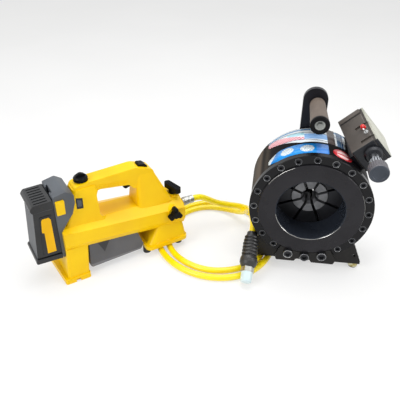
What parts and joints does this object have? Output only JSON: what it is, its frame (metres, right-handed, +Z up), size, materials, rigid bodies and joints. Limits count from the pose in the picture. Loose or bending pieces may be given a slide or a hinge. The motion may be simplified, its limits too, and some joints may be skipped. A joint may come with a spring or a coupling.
{
  "type": "hose crimping machine",
  "caption": "Portable hose crimping set: round hydraulic crimping head with a ring of sliding dies, battery driven pump with handle, and a coiled pressure hose.",
  "frame": {"origin": "on the floor under the middle of the bounding box of the head and the pump, without the hose", "axes": "+Z up, -Y towards the front of the crimping head, whose crimping axis runs along Y, +X from the pump towards the head"},
  "size_m": [0.6624, 0.3415, 0.333],
  "materials": {
    "black_enamel": "gloss enamel on steel",
    "zinc_plated_steel": "zinc plated",
    "ground_steel": "ground and hardened",
    "seal_rubber": "moulded",
    "spring_steel": "oiled spring wire",
    "black_oxide_steel": "black oxide",
    "hardened_die_steel": "machined and hardened",
    "foot_rubber": "moulded",
    "grip_rubber": "matt turned rubber sleeve",
    "black_plastic": "moulded",
    "box_enamel": "satin enamel",
    "lid_enamel": "satin enamel",
    "red_lens": "clear red lens",
    "anodised_black": "black anodised",
    "satin_chrome": "satin chrome",
    "knob_anodised": "blue black anodised",
    "yellow_plastic": "moulded",
    "grey_plastic": "moulded",
    "battery_plastic": "textured",
    "tank_plastic": "moulded",
    "drive_steel": "machined",
    "yellow_hose": "extruded thermoplastic cover",
    "protector_rubber": "moulded",
    "cap_plastic": "translucent moulded"
  },
  "bodies": {
    "set_frame": {"front_cover": "black_enamel", "cylinder_drum": "black_enamel", "cover_screws": "zinc_plated_steel", "hub_seal": "seal_rubber", "return_springs": "spring_steel", "front_tab_plate": "black_enamel", "front_saddle_plate": "black_enamel", "rear_saddle_plate": "black_enamel", "rubber_feet": "foot_rubber", "handle_plate": "black_enamel", "bracket_screws": "zinc_plated_steel", "handle_grip": "grip_rubber", "grip_end_ring": "black_plastic", "handle_bolt": "zinc_plated_steel", "box_saddle": "black_enamel", "control_box": "box_enamel", "box_lid": "lid_enamel", "pressure_lamp": "red_lens", "toggle_bush": "zinc_plated_steel", "micrometer_boss": "anodised_black", "micrometer_sleeve": "satin_chrome", "inlet_coupler": "zinc_plated_steel", "pump_housing": "yellow_plastic", "motor_adapter": "grey_plastic", "oil_tank": "tank_plastic", "drive_unit": "drive_steel", "handle_insert": "black_plastic", "outlet_coupling": "zinc_plated_steel", "hose_ferrule": "zinc_plated_steel", "hose": "yellow_hose", "bend_protector": "protector_rubber", "hose_end_fitting": "zinc_plated_steel", "thread_cap": "cap_plastic"},
    "piston": {"piston_cone": "ground_steel", "piston_seals": "seal_rubber"},
    "micrometer": {"micrometer_knob": "knob_anodised"},
    "toggle": {"toggle_lever": "zinc_plated_steel"},
    "battery": {"battery_pack": "battery_plastic"},
    "latch_near": {"battery_latch_near": "black_plastic"},
    "latch_far": {"battery_latch_far": "black_plastic"},
    "vent": {"vent_cap": "black_plastic"},
    "trigger": {"pump_trigger": "black_plastic"},
    "valve": {"valve_lever": "black_plastic"},
    "release": {"lobe_knob": "black_plastic"},
    "die_1": {"master_die_1": "black_oxide_steel", "die_segment_1": "hardened_die_steel"},
    "die_2": {"master_die_2": "black_oxide_steel", "die_segment_2": "hardened_die_steel"},
    "die_3": {"master_die_3": "black_oxide_steel", "die_segment_3": "hardened_die_steel"},
    "die_4": {"master_die_4": "black_oxide_steel", "die_segment_4": "hardened_die_steel"},
    "die_5": {"master_die_5": "black_oxide_steel", "die_segment_5": "hardened_die_steel"},
    "die_6": {"master_die_6": "black_oxide_steel", "die_segment_6": "hardened_die_steel"},
    "die_7": {"master_die_7": "black_oxide_steel", "die_segment_7": "hardened_die_steel"},
    "die_8": {"master_die_8": "black_oxide_steel", "die_segment_8": "hardened_die_steel"}
  },
  "joints": [
    {"name": "piston_slide", "type": "slide", "parent": "set_frame", "child": "piston", "axis": [0, -1, 0], "range_m": [0, 0.0185], "deforming": ["return_springs"]},
    {"name": "die_1_slide", "type": "slide", "parent": "set_frame", "child": "die_1", "axis": [0, 0, -1], "range_m": [0, 0.006]},
    {"name": "die_2_slide", "type": "slide", "parent": "set_frame", "child": "die_2", "axis": [0.7071, 0, -0.7071], "range_m": [0, 0.006]},
    {"name": "die_3_slide", "type": "slide", "parent": "set_frame", "child": "die_3", "axis": [1, 0, 0], "range_m": [0, 0.006]},
    {"name": "die_4_slide", "type": "slide", "parent": "set_frame", "child": "die_4", "axis": [0.7071, 0, 0.7071], "range_m": [0, 0.006]},
    {"name": "die_5_slide", "type": "slide", "parent": "set_frame", "child": "die_5", "axis": [0, 0, 1], "range_m": [0, 0.006]},
    {"name": "die_6_slide", "type": "slide", "parent": "set_frame", "child": "die_6", "axis": [-0.7071, 0, 0.7071], "range_m": [0, 0.006]},
    {"name": "die_7_slide", "type": "slide", "parent": "set_frame", "child": "die_7", "axis": [-1, 0, 0], "range_m": [0, 0.006]},
    {"name": "die_8_slide", "type": "slide", "parent": "set_frame", "child": "die_8", "axis": [-0.7071, 0, -0.7071], "range_m": [0, 0.006]},
    {"name": "micrometer_turn", "type": "hinge", "parent": "set_frame", "child": "micrometer", "pos_m": [0.2989, -0.02789, 0.25597], "axis": [0, -1, 0], "continuous": true},
    {"name": "toggle_tilt", "type": "hinge", "parent": "set_frame", "child": "toggle", "pos_m": [0.28306, 0.03315, 0.28775], "axis": [-0.7431, 0, -0.6691], "range_deg": [0, 24]},
    {"name": "battery_slide", "type": "slide", "parent": "set_frame", "child": "battery", "axis": [0, 0, 1], "range_m": [0, 0.06]},
    {"name": "latch_near_press", "type": "slide", "parent": "set_frame", "child": "latch_near", "axis": [-0.6293, 0.7771, 0], "range_m": [0, 0.003], "stiffness_N_per_m": 800},
    {"name": "latch_far_press", "type": "slide", "parent": "set_frame", "child": "latch_far", "axis": [0.6293, -0.7771, 0], "range_m": [0, 0.003], "stiffness_N_per_m": 800},
    {"name": "vent_turn", "type": "hinge", "parent": "set_frame", "child": "vent", "pos_m": [-0.22221, -0.04586, 0.19], "axis": [0, 0, 1], "range_deg": [0, 90]},
    {"name": "trigger_press", "type": "slide", "parent": "set_frame", "child": "trigger", "axis": [0, 0, 1], "range_m": [0, 0.004], "stiffness_N_per_m": 600},
    {"name": "valve_turn", "type": "hinge", "parent": "set_frame", "child": "valve", "pos_m": [-0.07229, 0.06138, 0.115], "axis": [0, 0, -1], "range_deg": [0, 45]},
    {"name": "release_turn", "type": "hinge", "parent": "set_frame", "child": "release", "pos_m": [-0.05922, 0.01664, 0.088], "axis": [0.6293, -0.7771, 0], "range_deg": [0, 270]}
  ],
  "couplings": [
    {"joint": "die_1_slide", "follows": "piston_slide", "ratio": 0.3243},
    {"joint": "die_2_slide", "follows": "piston_slide", "ratio": 0.3243},
    {"joint": "die_3_slide", "follows": "piston_slide", "ratio": 0.3243},
    {"joint": "die_4_slide", "follows": "piston_slide", "ratio": 0.3243},
    {"joint": "die_5_slide", "follows": "piston_slide", "ratio": 0.3243},
    {"joint": "die_6_slide", "follows": "piston_slide", "ratio": 0.3243},
    {"joint": "die_7_slide", "follows": "piston_slide", "ratio": 0.3243},
    {"joint": "die_8_slide", "follows": "piston_slide", "ratio": 0.3243}
  ]
}
